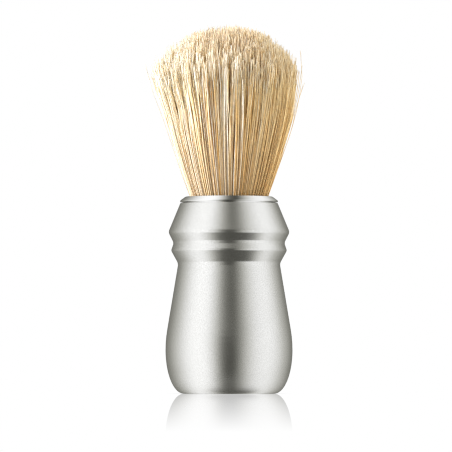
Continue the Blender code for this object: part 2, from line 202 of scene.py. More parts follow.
# The same for the directions that point well below level, and well above it.
STUDIO_BELOW = (
    (-180, 0.08), (-140, 0.50), (-112, 1.00), (-90, 1.12), (-72, 1.08), (-56, 0.80), (-44, 0.48),
    (-34, 0.26), (-22, 0.09), (0, 0.07), (38, 0.07), (52, 0.09), (64, 0.20), (75, 0.48),
    (86, 0.80), (99, 0.98), (112, 0.92), (135, 0.50), (180, 0.08),
)
STUDIO_ABOVE = (
    (-180, 0.20), (-132, 0.46), (-112, 0.82), (-90, 1.10), (-70, 1.20), (-50, 1.16), (-38, 1.0),
    (-27, 0.76), (-16, 0.50), (-6, 0.29), (4, 0.18), (12, 0.16), (24, 0.28), (36, 0.52),
    (50, 0.78), (66, 0.98), (80, 1.10), (98, 1.10), (114, 0.90), (132, 0.58), (155, 0.32),
    (180, 0.20),
)
# Straight down, by how far a direction leans to the left or right, from -1 to 1.
STUDIO_FLOOR = (
    (-1.0, 0.62), (-0.62, 0.84), (-0.49, 0.80), (-0.38, 0.62), (-0.24, 0.30), (-0.10, 0.13),
    (0.12, 0.11), (0.24, 0.20), (0.38, 0.36), (0.49, 0.50), (0.60, 0.66), (1.0, 0.58),
)
# What lights the bristles: the same room, with its dark panels filled in.
ROOM_LEVEL = (
    (-180, 0.55), (-135, 0.70), (-105, 1.90), (-70, 2.90), (-44, 1.10), (-15, 0.42), (5, 0.36),
    (20, 0.40), (42, 0.85), (70, 2.40), (100, 2.20), (135, 0.90), (180, 0.55),
)
ROOM_WARM = (1.0, 0.90, 0.74, 1.0)
ROOM_COOL = (0.93, 1.01, 1.28, 1.0)
ROOM_TOP = 1.25
SHADOW_TINT = (1.0, 0.985, 0.84)   # colour of the studio where it is darkest
# How high or low a direction points where one set of bands gives way to the next.
ABOVE_FROM = (0.12, 0.62)
BELOW_FROM = (-0.42, -0.76)
FLOOR_FROM = (-0.82, -0.94)
ROOM_TOP_FROM = (0.1, 0.8)


def make_studio():
    """White to the camera; to the metal, a dark front between two soft boxes, and a dark back."""
    world = bpy.data.worlds.new("studio")
    bpy.context.scene.world = world
    world.use_nodes = True
    tree = world.node_tree
    background = tree.nodes["Background"]
    direction = add_node(tree, "ShaderNodeTexCoord").outputs["Generated"]
    parts = split(tree, direction)
    towards_camera = calc(tree, "MULTIPLY", parts["Y"], -1.0)
    azimuth = calc(tree, "ARCTAN2", parts["X"], towards_camera)
    share = calc(tree, "MULTIPLY_ADD", azimuth, 0.5 / math.pi, 0.5)
    across = calc(tree, "MULTIPLY_ADD", parts["X"], 0.5, 0.5)

    def band(levels, place=share, half_range=180.0):
        stops = []
        for value, level in levels:
            dark = max(0.0, 1.0 - level)
            colour = [level * (1.0 - dark * (1.0 - tint)) for tint in SHADOW_TINT]
            stops.append(((value / half_range + 1.0) / 2.0, (*colour, 1.0)))
        return ramp(tree, place, stops)

    height = parts["Z"]
    above = remap(tree, height, *ABOVE_FROM)
    below = remap(tree, height, *BELOW_FROM)
    under = remap(tree, height, *FLOOR_FROM)
    mirrored = blend(tree, above, band(STUDIO_LEVEL), band(STUDIO_ABOVE))
    mirrored = blend(tree, below, mirrored, band(STUDIO_BELOW))
    mirrored = blend(tree, under, mirrored, band(STUDIO_FLOOR, across, 1.0))
    room = blend(tree, remap(tree, height, *ROOM_TOP_FROM), band(ROOM_LEVEL), grey(ROOM_TOP))
    room = blend(tree, 1.0, room, blend(tree, across, ROOM_COOL, ROOM_WARM), mode="MULTIPLY")
    path = add_node(tree, "ShaderNodeLightPath")
    light = blend(tree, path.outputs["Is Diffuse Ray"], mirrored, room)
    plain = calc(tree, "MAXIMUM", path.outputs["Is Camera Ray"], path.outputs["Is Singular Ray"])
    feed(tree, background.inputs["Color"], blend(tree, plain, light, grey(1.0)))
    background.inputs["Strength"].default_value = 1.0


KEY_AZIMUTH = math.radians(-76.0)
KEY_RISE = math.radians(20.0)
KEY_DISTANCE = 0.7
KEY_SIZE = 0.40
KEY_POWER = 6.5
KEY_COLOUR = (0.92, 1.0, 1.30)
KEY_TARGET = Vector((0.0, 0.0, 80.0 * MM))


def make_key_light():
    """A soft light on the left of the bristles, which the metal doesn't mirror."""
    data = bpy.data.lights.new("key", "AREA")
    data.shape = "DISK"
    data.size = KEY_SIZE
    data.energy = KEY_POWER
    data.color = KEY_COLOUR
    light = bpy.data.objects.new("key", data)
    level = math.cos(KEY_RISE)
    direction = Vector((
        math.sin(KEY_AZIMUTH) * level,
        -math.cos(KEY_AZIMUTH) * level,
        math.sin(KEY_RISE),
    ))
    light.location = KEY_TARGET + direction * KEY_DISTANCE
    light.rotation_euler = (-direction).to_track_quat("-Z", "Y").to_euler()
    light.visible_glossy = False
    light.visible_camera = False
    bpy.context.scene.collection.objects.link(light)


FLOOR_HALF = 4.0
FLOOR_DROP = 0.02 * MM         # keeps the floor clear of the base
MIRROR_IOR = 1.45
MIRROR_STRENGTH = 0.54
MIRROR_REACH = 0.87            # distance at which the floor stops mirroring
CONTACT_RADIUS = 14.0 * MM
CONTACT_FADE = 7.0 * MM
CONTACT_LEVEL = 0.6


def make_floor():
    """A white floor with a faint, fading mirror image and a soft contact shade."""
    mesh = bpy.data.meshes.new("floor")
    corners = [(-1, -1), (1, -1), (1, 1), (-1, 1)]
    mesh.from_pydata([(x * FLOOR_HALF, y * FLOOR_HALF, 0.0) for x, y in corners], [], [(0, 1, 2, 3)])
    floor = bpy.data.objects.new("floor", mesh)
    bpy.context.scene.collection.objects.link(floor)
    floor.location.z = HANDLE_LOW.z - FLOOR_DROP
    for ray in ("diffuse", "glossy", "transmission", "shadow"):
        setattr(floor, "visible_" + ray, False)
    material = bpy.data.materials.new("floor_white")
    material.use_nodes = True
    tree = material.node_tree
    tree.nodes.clear()
    place = add_node(tree, "ShaderNodeNewGeometry").outputs["Position"]
    distance = vector_calc(tree, "LENGTH", from_axis(tree, place))
    shade = remap(tree, distance, CONTACT_RADIUS, CONTACT_RADIUS + CONTACT_FADE, CONTACT_LEVEL, 1.0)
    travel = calc(tree, "DIVIDE", distance, MIRROR_REACH)
    fade = calc(tree, "SUBTRACT", 1.0, calc(tree, "MULTIPLY", travel, travel), clamp=True)
    gloss = add_node(tree, "ShaderNodeFresnel")
    gloss.inputs["IOR"].default_value = MIRROR_IOR
    mirror = calc(tree, "MULTIPLY", calc(tree, "MULTIPLY", fade, MIRROR_STRENGTH), gloss.outputs[0])
    glow = add_node(tree, "ShaderNodeEmission")
    feed(tree, glow.inputs["Color"], blend(tree, shade, grey(0.0), grey(1.0)))
    reflect = add_node(tree, "ShaderNodeBsdfGlossy")
    reflect.inputs["Roughness"].default_value = 0.0
    reflect.inputs["Color"].default_value = grey(1.0)
    mix = add_node(tree, "ShaderNodeMixShader")
    feed(tree, mix.inputs[0], mirror)
    feed(tree, mix.inputs[1], glow.outputs[0])
    feed(tree, mix.inputs[2], reflect.outputs[0])
    out = add_node(tree, "ShaderNodeOutputMaterial")
    feed(tree, out.inputs["Surface"], mix.outputs[0])
    mesh.materials.append(material)


# ---------------------------------------------------------------- turned metal
FINE_TURN = math.radians(4.0)  # turn covered by one step along a rounding
TURNED_STEPS = 192
SHARP_ANGLE = math.radians(32.0)
ON_AXIS = 1e-7                 # a radius under this closes an outline on the axis


def rounded_outline(corners, closed=False):
    """Points along an outline of (radius, z, rounding) corners, with an arc at each rounded one."""
    points = []
    count = len(corners)
    for index, (radius, z, rounding) in enumerate(corners):
        corner = Vector((radius, z))
        is_end = not closed and index in (0, count - 1)
        if rounding == 0.0 or is_end:
            points.append(corner)
            continue
        to_before = (Vector(corners[index - 1][:2]) - corner).normalized()
        to_after = (Vector(corners[(index + 1) % count][:2]) - corner).normalized()
        half_angle = to_before.angle(to_after) / 2.0
        reach = rounding / math.tan(half_angle)
        centre = corner + (to_before + to_after).normalized() * rounding / math.sin(half_angle)
        first_spoke = corner + to_before * reach - centre
        last_spoke = corner + to_after * reach - centre
        turn = math.atan2(first_spoke.cross(last_spoke), first_spoke.dot(last_spoke))
        steps = max(2, math.ceil(abs(turn) / FINE_TURN))
        for step in range(steps + 1):
            points.append(centre + Matrix.Rotation(turn * step / steps, 2) @ first_spoke)
    return points


def subdivided(points, longest, closed=False):
    """The same outline with no stretch longer than a given length."""
    result = []
    pairs = zip(points, points[1:] + (points[:1] if closed else []))
    for start, end in pairs:
        parts = max(1, math.ceil((end - start).length / longest))
        result += [start.lerp(end, part / parts) for part in range(parts)]
    if not closed:
        result.append(points[-1])
    return result


def turned(name, outline, closed=False):
    """Turns an outline round Z into a closed mesh. It runs down the outer side, top to bottom."""
    count = len(outline)
    vertices = []
    rings = []
    for point in outline:
        places = 1 if point.x < ON_AXIS else TURNED_STEPS
        rings.append(range(len(vertices), len(vertices) + places))
        for step in range(places):
            angle = math.tau * step / TURNED_STEPS
            vertices.append((point.x * math.cos(angle), point.x * math.sin(angle), point.y))
    faces = []
    for index in range(count if closed else count - 1):
        upper, lower = rings[index], rings[(index + 1) % count]
        for step in range(TURNED_STEPS):
            after = (step + 1) % TURNED_STEPS
            corner_loop = [
                upper[step % len(upper)],
                lower[step % len(lower)],
                lower[after % len(lower)],
                upper[after % len(upper)],
            ]
            faces.append(list(dict.fromkeys(corner_loop)))
    mesh = bpy.data.meshes.new(name)
    mesh.from_pydata(vertices, [], faces)
    mesh.shade_smooth()
    mesh.set_sharp_from_angle(angle=SHARP_ANGLE)
    piece = bpy.data.objects.new(name, mesh)
    bpy.context.scene.collection.objects.link(piece)
    return piece


MOUTH_RADIUS = 15.35 * MM
MOUTH_EDGE = 0.2 * MM
UPPER_RING = (19.13 * MM, 50.85 * MM)
RING_GROOVE = (17.43 * MM, 47.45 * MM)
LOWER_RING = (18.27 * MM, 45.06 * MM)
RING_ROUNDING = 1.8 * MM
LOWER_RING_ROUNDING = 1.1 * MM
WAIST = (16.01 * MM, 40.96 * MM)
WAIST_ROUNDING = 2.5 * MM
BELLY_RADIUS = HANDLE_HIGH.x
BELLY_Z = 13.7 * MM
TAPER_END_Z = 16.95 * MM       # where the straight taper would reach the belly's radius
BELLY_ROUNDING = 38.0 * MM
RIM_RADIUS = 14.3 * MM         # outer radius of the flat rim it stands on
FOOT_STEPS = 28                # steps along the elliptical foot
WALL = 2.6 * MM
SOCKET_RADIUS = 13.4 * MM
SOCKET_FLOOR_Z = 38.6 * MM
SOCKET_ROUNDING = 0.8 * MM
WEB_THICKNESS = 2.4 * MM
SEAT_RADIUS = 14.5 * MM
SEAT_DEPTH = 1.0 * MM
SEAT_EDGE = 0.1 * MM
BORE_RADIUS = 12.6 * MM        # opening that takes the base plate
LEDGE_RADIUS = 11.9 * MM       # shoulder that stops the base plate
LEDGE_Z = 5.4 * MM
LEDGE_THICKNESS = 1.4 * MM
HOLLOW_FOOT_Z = 9.6 * MM       # where the hollow reaches its full width
HOLLOW_ROUNDINGS = (3.0 * MM, 20.0 * MM, 1.5 * MM)   # foot, belly and top
CLIP_GROOVE_RADIUS = 13.3 * MM
CLIP_GROOVE_Z = (0.9 * MM, 2.3 * MM)
HANDLE_STRETCH = 0.6 * MM      # the longest stretch of the mesh down the handle


def make_handle():
    """The handle on the CAD's outline, turned finely and crisper at the lower ring and the waist."""
    seat_z = HANDLE_TOP_Z - SEAT_DEPTH
    side = rounded_outline([
        (0.0, SOCKET_FLOOR_Z, 0.0),
        (SOCKET_RADIUS, SOCKET_FLOOR_Z, SOCKET_ROUNDING),
        (SOCKET_RADIUS, seat_z, 0.0),
        (SEAT_RADIUS, seat_z, 0.0),
        (SEAT_RADIUS, HANDLE_TOP_Z, SEAT_EDGE),
        (MOUTH_RADIUS, HANDLE_TOP_Z, MOUTH_EDGE),
        (*UPPER_RING, RING_ROUNDING),
        (*RING_GROOVE, RING_ROUNDING),
        (*LOWER_RING, LOWER_RING_ROUNDING),
        (*WAIST, WAIST_ROUNDING),
        (BELLY_RADIUS, TAPER_END_Z, BELLY_ROUNDING),
        (BELLY_RADIUS, BELLY_Z, 0.0),
    ])
    foot = []
    for step in range(1, FOOT_STEPS + 1):
        angle = math.pi / 2.0 * step / FOOT_STEPS
        radius = RIM_RADIUS + (BELLY_RADIUS - RIM_RADIUS) * math.cos(angle)
        foot.append(Vector((radius, BELLY_Z * (1.0 - math.sin(angle)))))
    hollow_top_z = SOCKET_FLOOR_Z - WEB_THICKNESS
    hollow_radius = BELLY_RADIUS - WALL
    taper = (BELLY_RADIUS - WAIST[0]) / (WAIST[1] - TAPER_END_Z)
    hollow_top_radius = hollow_radius - taper * (hollow_top_z - TAPER_END_Z)
    groove_low, groove_high = CLIP_GROOVE_Z
    foot_rounding, belly_rounding, top_rounding = HOLLOW_ROUNDINGS
    hollow = rounded_outline([
        (BORE_RADIUS, 0.0, 0.0),
        (BORE_RADIUS, groove_low, 0.0),
        (CLIP_GROOVE_RADIUS, groove_low, 0.0),
        (CLIP_GROOVE_RADIUS, groove_high, 0.0),
        (BORE_RADIUS, groove_high, 0.0),
        (BORE_RADIUS, LEDGE_Z, 0.0),
        (LEDGE_RADIUS, LEDGE_Z, 0.0),
        (LEDGE_RADIUS, LEDGE_Z + LEDGE_THICKNESS, 0.0),
        (hollow_radius, HOLLOW_FOOT_Z, foot_rounding),
        (hollow_radius, TAPER_END_Z, belly_rounding),
        (hollow_top_radius, hollow_top_z, top_rounding),
        (0.0, hollow_top_z, 0.0),
    ])
    handle = turned("handle", subdivided(side + foot, HANDLE_STRETCH) + hollow)
    handle.data.materials.append(make_satin_metal())
    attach(handle, "root")
    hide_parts("handle_shell")


FOOT_EASE_Z = (8.5 * MM, 3.5 * MM)     # where the easing of the foot starts, and where it is full
FOOT_EASE = 0.5


def level_outwards(tree, place):
    """The level direction from the brush's axis towards a place."""
    return vector_calc(tree, "NORMALIZE", from_axis(tree, place))


def make_satin_metal():
    """Bead-blasted metal: fine pits and a faint cloudiness.

    The foot is a little rougher, and it mirrors partly as if it stood upright.
    """
    material, tree, shader, place = new_material("satin_metal_blasted")
    grain = noise(tree, place, 3200.0, detail=2.0)
    pits = noise(tree, place, 7000.0, detail=2.0)
    cloud = noise(tree, place, 90.0, detail=2.0)
    dull, bright = (0.745, 0.745, 0.730, 1.0), (0.850, 0.850, 0.840, 1.0)
    tint = blend(tree, remap(tree, grain, 0.3, 0.7), dull, bright)
    tint = blend(tree, remap(tree, cloud, 0.3, 0.7, 0.0, 0.25), tint, (0.75, 0.75, 0.73, 1.0))
    feed(tree, shader.inputs["Base Color"], tint)
    shader.inputs["Metallic"].default_value = 1.0
    foot = remap(tree, split(tree, place)["Z"], *FOOT_EASE_Z)
    roughness = remap(tree, cloud, 0.3, 0.7, 0.21, 0.24)
    feed(tree, shader.inputs["Roughness"], calc(tree, "MULTIPLY_ADD", foot, 0.06, roughness))
    ease = calc(tree, "MULTIPLY", foot, FOOT_EASE)
    pitted = bump(tree, pits, 0.10, 0.02 * MM)
    normal = blend_directions(tree, ease, pitted, level_outwards(tree, place))
    feed(tree, shader.inputs["Normal"], normal)
    return material


FERRULE_TOP_RADIUS = 13.7 * MM
FERRULE_EDGE_Z = 60.8 * MM
FERRULE_STRETCH = 1.2 * MM
SLEEVE_RADIUS = 13.1 * MM
SLEEVE_BORE = 12.5 * MM
HEM_RADIUS = 11.4 * MM
SHOULDER_TURN = math.radians(-5.0)     # how far the shoulder's mirror image is turned round Z
SHOULDER_EASE = 0.85


def make_ferrule():
    """The polished ring round the knot, with its sleeve."""
    outer = FERRULE_HIGH.x
    flange_z = HANDLE_TOP_Z + GAP
    wall = SLEEVE_RADIUS - SLEEVE_BORE
    outline = rounded_outline([
        (SLEEVE_BORE, COLLAR_Z, 0.25 * MM),
        (FERRULE_TOP_RADIUS, COLLAR_Z, 0.9 * MM),
        (outer, FERRULE_EDGE_Z, 0.5 * MM),
        (outer, flange_z, 0.1 * MM),
        (SLEEVE_RADIUS, flange_z, 0.0),
        (SLEEVE_RADIUS, FERRULE_LOW.z, 0.5 * MM),
        (HEM_RADIUS, FERRULE_LOW.z, 0.1 * MM),
        (HEM_RADIUS, FERRULE_LOW.z + wall, 0.1 * MM),
        (SLEEVE_BORE, FERRULE_LOW.z + wall, 0.0),
    ], closed=True)
    outline = subdivided(outline, FERRULE_STRETCH, closed=True)
    ring = turned("ferrule_polished", outline, closed=True)
    ring.data.materials.append(make_polished_metal())
    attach(ring, "root")
    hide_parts("ferrule")


def make_polished_metal():
    """Polished metal with a faint haze. The shoulder mirrors nearly as if it stood upright."""
    material, tree, shader, place = new_material("polished_metal_ring")
    haze = noise(tree, place, 400.0, detail=3.0)
    tint = blend(tree, haze, (0.80, 0.80, 0.79, 1.0), (0.87, 0.87, 0.86, 1.0))
    feed(tree, shader.inputs["Base Color"], tint)
    turned_level = add_node(tree, "ShaderNodeVectorRotate", rotation_type="Z_AXIS")
    feed(tree, turned_level.inputs["Vector"], level_outwards(tree, place))
    turned_level.inputs["Angle"].default_value = SHOULDER_TURN
    true_normal = add_node(tree, "ShaderNodeNewGeometry").outputs["Normal"]
    rise = split(tree, true_normal)["Z"]
    past_side = remap(tree, rise, 0.15, 0.45)
    before_top = remap(tree, rise, 0.90, 0.99, SHOULDER_EASE, 0.0)
    on_shoulder = calc(tree, "MULTIPLY", past_side, before_top)
    normal = blend_directions(tree, on_shoulder, true_normal, turned_level.outputs[0])
    feed(tree, shader.inputs["Normal"], normal)
    shader.inputs["Metallic"].default_value = 1.0
    feed(tree, shader.inputs["Roughness"], remap(tree, haze, 0.3, 0.7, 0.06, 0.10))
    return material


# ---------------------------------------------------------------- bristles
BRISTLE_COUNT = 6400
TUFT_COUNT = 2600              # little bundles of a few hairs that run side by side
LOCK_COUNT = 330               # wider locks that gather towards the tips
SECTORS = 18                   # pieces that the knot is cut into
NECK_RADIUS = 12.3 * MM
WIDEST_RADIUS = KNOT_HIGH.x - 0.1 * MM
WIDEST_Z = 99.5 * MM
KNOT_BOW = 0.35
KNOT_TOP_Z = KNOT_HIGH.z
CROWN_Z = 97.2 * MM            # where the rounded top starts
TIP_SHARE = 0.95               # how far out the rounded top is cut, as a share of its radius
TIP_TUCK = 0.075               # how far the tips bend in, as a share of their radius
TUCK_Z = 97.0 * MM             # where they start to
SIDE_SWELL = 0.055             # how much wider the knot's left shoulder is than the middle
SWELL_Z = (84.0 * MM, 102.0 * MM)
# Single hairs that stand off the knot: azimuth from +X away from the camera, splay, tip height.
STRAYS = (
    (-6.0, 0.140, 109.0 * MM),
    (4.0, 0.085, 98.0 * MM),
    (-15.0, 0.115, 103.0 * MM),
    (-30.0, 0.100, 106.0 * MM),
    (182.0, 0.105, 104.0 * MM),
    (171.0, 0.060, 94.0 * MM),
)
FOOT_Z = KNOT_LOW.z + 0.2 * MM
FOOT_INNER = CORE_HIGH.x + 0.45 * MM
FOOT_OUTER = 10.95 * MM
FOOT_RINGS = ((FOOT_Z, 0.0), (54.0 * MM, 0.0), (CORE_HIGH.z, 0.15))  # height, and share of the spread
TUFT_GATHER = (0.15, 0.7)      # how far a bristle moves towards its tuft, as a share
LOCK_GATHER = (0.05, 0.42)     # the same for its tip and its lock
LOCK_LEAN = 0.018
TUFT_LEAN = 0.020
OWN_LEAN = 0.020
STRAY_SHARE = 0.012
STRAY_SPLAY = (0.03, 0.13)
STRAY_DROP_MM = 14.0           # how much shorter a stray can be
STRAY_THINNING = 0.6
THICKNESS_MM = (0.12, 0.185)
FLAG_LENGTH_MM = (3.0, 6.5)
PAINTED_SIDE_LIGHT = 0.80                    # painted side light: how much more alike in tone the hairs are at the two sides
# painted side light: the tone that the hairs at the two sides are pulled to
SIDE_LIGHT_TONE = 0.72
SHAFT_STEPS = 8                # stretches of a bristle above the ferrule
FLAGS = 2                      # fine ends that a bristle's tip splits into
FLAG_STEPS = 2
FLAG_OVERLAP = 0.12            # how far a fine end reaches back into its bristle
FLAG_FAN = 0.035
FLAG_TAPER = 0.45
MAP_STRIPS = ((0.0, 0.70), (0.71, 0.85), (0.86, 1.0))


def smoothstep(values):
    values = np.clip(values, 0.0, 1.0)
    return values * values * (3.0 - 2.0 * values)


def knot_radius(z):
    """Radius of the knot's outline at a height, carried on above its widest place."""
    share = (z - COLLAR_Z) / (WIDEST_Z - COLLAR_Z)
    low = np.clip(share, 0.0, 1.0)
    radius = NECK_RADIUS + (WIDEST_RADIUS - NECK_RADIUS) * (low + KNOT_BOW * low * (1.0 - low))
    rise = np.clip(z - WIDEST_Z, 0.0, None)
    return radius + 0.4 * MM * (1.0 - np.exp(-rise / (3.0 * MM)))


def disc_points(count):
    """Scattered points in a unit disc, a little closer together towards its edge."""
    radius = rng.random(count) ** 0.43
    angle = rng.random(count) * math.tau
    return np.stack([radius * np.cos(angle), radius * np.sin(angle)], axis=1)


def nearest_index(points, centres):
    distance = ((points[:, None, :] - centres[None, :, :]) ** 2).sum(axis=2)
    return distance.argmin(axis=1)


def prism_rings(centres, radii, spin):
    """Three corners round each centre: centres (n, rings, 3), radii (n, rings), spin (n,)."""
    angles = spin[:, None] + np.arange(3)[None, :] * math.tau / 3.0
    offsets = np.stack([np.cos(angles), np.sin(angles), np.zeros_like(angles)], axis=2)
    return centres[:, :, None, :] + radii[:, :, None, None] * offsets[:, None, :, :]


def strand_mesh(strands, strip):
    """Corners, quads, end caps, both map places, lengthwise values and tones of equal strands.

    strands holds centres (n, rings, 3), radii (n, rings), spin (n,), along (n, rings) and tone (n,).
    strip is the stretch of the map's height that the set takes; every strand has a column of its own.
    """
    centres, radii, spin, along, tone = strands
    count, rings = radii.shape
    corners = prism_rings(centres, radii, spin).reshape(-1, 3)
    base = (np.arange(count) * rings * 3)[:, None, None]
    ring = np.arange(rings - 1)[None, :, None]
    side = np.arange(3)[None, None, :]
    after = (side + 1) % 3
    quads = np.stack([
        base + ring * 3 + side,
        base + ring * 3 + after,
        base + ring * 3 + 3 + after,
        base + ring * 3 + 3 + side,
    ], axis=-1).reshape(-1, 4)
    foot = base[:, 0, 0]
    head = foot + (rings - 1) * 3
    caps = np.concatenate([
        np.stack([foot, foot + 2, foot + 1], axis=1),
        np.stack([head, head + 1, head + 2], axis=1),
    ])

    column = np.arange(count)[:, None, None]
    left = (column + 0.1 + 0.8 * side / 3.0) / count + 0.0 * ring
    right = left + 0.8 / 3.0 / count
    low = strip[0] + (strip[1] - strip[0]) * ring / (rings - 1.0) + 0.0 * left
    high = low + (strip[1] - strip[0]) / (rings - 1.0)
    quad_map = np.stack([
        np.stack([left, low], axis=-1),
        np.stack([right, low], axis=-1),
        np.stack([right, high], axis=-1),
        np.stack([left, high], axis=-1),
    ], axis=3).reshape(-1, 2)
    middle = (np.arange(count) + 0.5) / count
    width = 0.2 / count
    rise = 0.02 * (strip[1] - strip[0])
    cap_maps = []
    for level, step in ((strip[0], rise), (strip[1], -rise)):
        flat = np.full(count, level)
        cap_maps.append(np.stack([
            np.stack([middle - width, flat], axis=-1),
            np.stack([middle + width, flat], axis=-1),
            np.stack([middle, flat + step], axis=-1),
        ], axis=1))
    cap_map = np.concatenate(cap_maps).reshape(-1, 2)
    corner_along = np.repeat(along.reshape(-1), 3)
    corner_tone = np.repeat(tone, rings * 3)
    return corners, quads, caps, quad_map, cap_map, corner_along, corner_tone


def make_strand_piece(name, sets):
    """One piece holding several sets of strands, each a closed three-sided prism."""
    parts = [strand_mesh(strands, strip) for strands, strip in zip(sets, MAP_STRIPS)]
    starts = np.cumsum([0] + [len(part[0]) for part in parts[:-1]])
    corners = np.concatenate([part[0] for part in parts])
    quads = np.concatenate([part[1] + start for part, start in zip(parts, starts)])
    caps = np.concatenate([part[2] + start for part, start in zip(parts, starts)])
    mesh = bpy.data.meshes.new(name)
    mesh.vertices.add(len(corners))
    mesh.vertices.foreach_set("co", corners.astype(np.float32).ravel())
    mesh.loops.add(quads.size + caps.size)
    mesh.loops.foreach_set("vertex_index", np.concatenate([quads.ravel(), caps.ravel()]).astype(np.int32))
    mesh.polygons.add(len(quads) + len(caps))
    loop_starts = np.concatenate([np.arange(len(quads)) * 4, quads.size + np.arange(len(caps)) * 3])
    mesh.polygons.foreach_set("loop_start", loop_starts.astype(np.int32))
    mesh.update(calc_edges=True)
    mesh.shade_smooth()
    layer = mesh.uv_layers.new(name="OFBake")
    places = np.concatenate([part[3] for part in parts] + [part[4] for part in parts])
    layer.uv.foreach_set("vector", places.astype(np.float32).ravel())
    for title, index in (("along", 5), ("tone", 6)):
        attribute = mesh.attributes.new(title, "FLOAT", "POINT")
        values = np.concatenate([part[index] for part in parts])
        attribute.data.foreach_set("value", values.astype(np.float32))
    piece = bpy.data.objects.new(name, mesh)
    bpy.context.scene.collection.objects.link(piece)
    return piece


def tip_heights(reach, stray):
    """A rounded top with a ragged edge."""
    tip_z = CROWN_Z + (KNOT_TOP_Z - CROWN_Z) * np.sqrt(1.0 - (reach * TIP_SHARE) ** 2)
    tip_z += np.clip(rng.normal(0.4, 0.5, BRISTLE_COUNT), -1.5, 1.1) * MM
    ragged = 0.8 + 2.6 * smoothstep((reach - 0.55) / 0.45)
    tip_z -= rng.exponential(1.0, BRISTLE_COUNT) * ragged * MM
    tip_z -= np.where(stray, rng.uniform(0.0, STRAY_DROP_MM, BRISTLE_COUNT), 0.0) * MM
    return tip_z


def bristle_tones(unit, reach, tuft):
    """Tones that vary at random, mixed in front; painted shade turns the hairs deep in the knot dark
    orange, and painted side light makes the hairs more alike at the two sides, paler on the left.
    """
    tone = 0.42 * rng.random(TUFT_COUNT)[tuft] + 0.85 * rng.random(BRISTLE_COUNT) - 0.08
    tone = np.clip(tone, 0.0, 1.0)
    sideways = smoothstep((np.abs(unit[:, 0]) - 0.25) / 0.55)
    # painted shade: hairs deep in the knot are pushed towards the dark orange low tones, less so at the
    # two sides
    deep_shade = 1.0 - smoothstep((reach - 0.68) / 0.26)
    tone += deep_shade * (1.0 - 0.8 * sideways) * (0.06 - 0.72 * tone)
    # painted side light: the hairs at the two sides are evened out, paler on the left where the key light
    # falls and darker on the right
    tone += PAINTED_SIDE_LIGHT * sideways * (SIDE_LIGHT_TONE - 0.14 * unit[:, 0] - tone)
    return tone


def grow_flags(shaft, travel, radii, spin, tone, flag_length):
    """The fine ends of every bristle. They fan out level from its own direction."""
    heading = shaft[:, -1] - shaft[:, -2]
    heading = heading / np.linalg.norm(heading, axis=1)[:, None]
    steps = np.linspace(-FLAG_OVERLAP, 1.0, FLAG_STEPS + 2)[None, :, None]
    ahead = np.clip(steps, 0.0, None)
    grown = travel[:, -1:] + (1.0 - travel[:, -1:]) * ahead[:, :, 0]
    thickness = radii[:, -1:] * (1.0 - FLAG_TAPER * ahead[:, :, 0])
    flags = []
    for flag in range(FLAGS):
        fan = rng.normal(0.0, FLAG_FAN, (BRISTLE_COUNT, 3))
        fan[:, 2] = 0.0
        curl = rng.normal(0.0, FLAG_FAN, (BRISTLE_COUNT, 3))
        curl[:, 2] = 0.0
        length = flag_length * rng.uniform(0.75, 1.1, BRISTLE_COUNT)
        line = heading[:, None, :] * steps + fan[:, None, :] * ahead + curl[:, None, :] * ahead**2
        line = shaft[:, -1][:, None, :] + line * length[:, None, None]
        own_tone = np.clip(tone + rng.normal(0.0, 0.2, BRISTLE_COUNT), 0.0, 1.0)
        flags.append((line, thickness, spin + flag, np.broadcast_to(grown, thickness.shape), own_tone))
    return flags


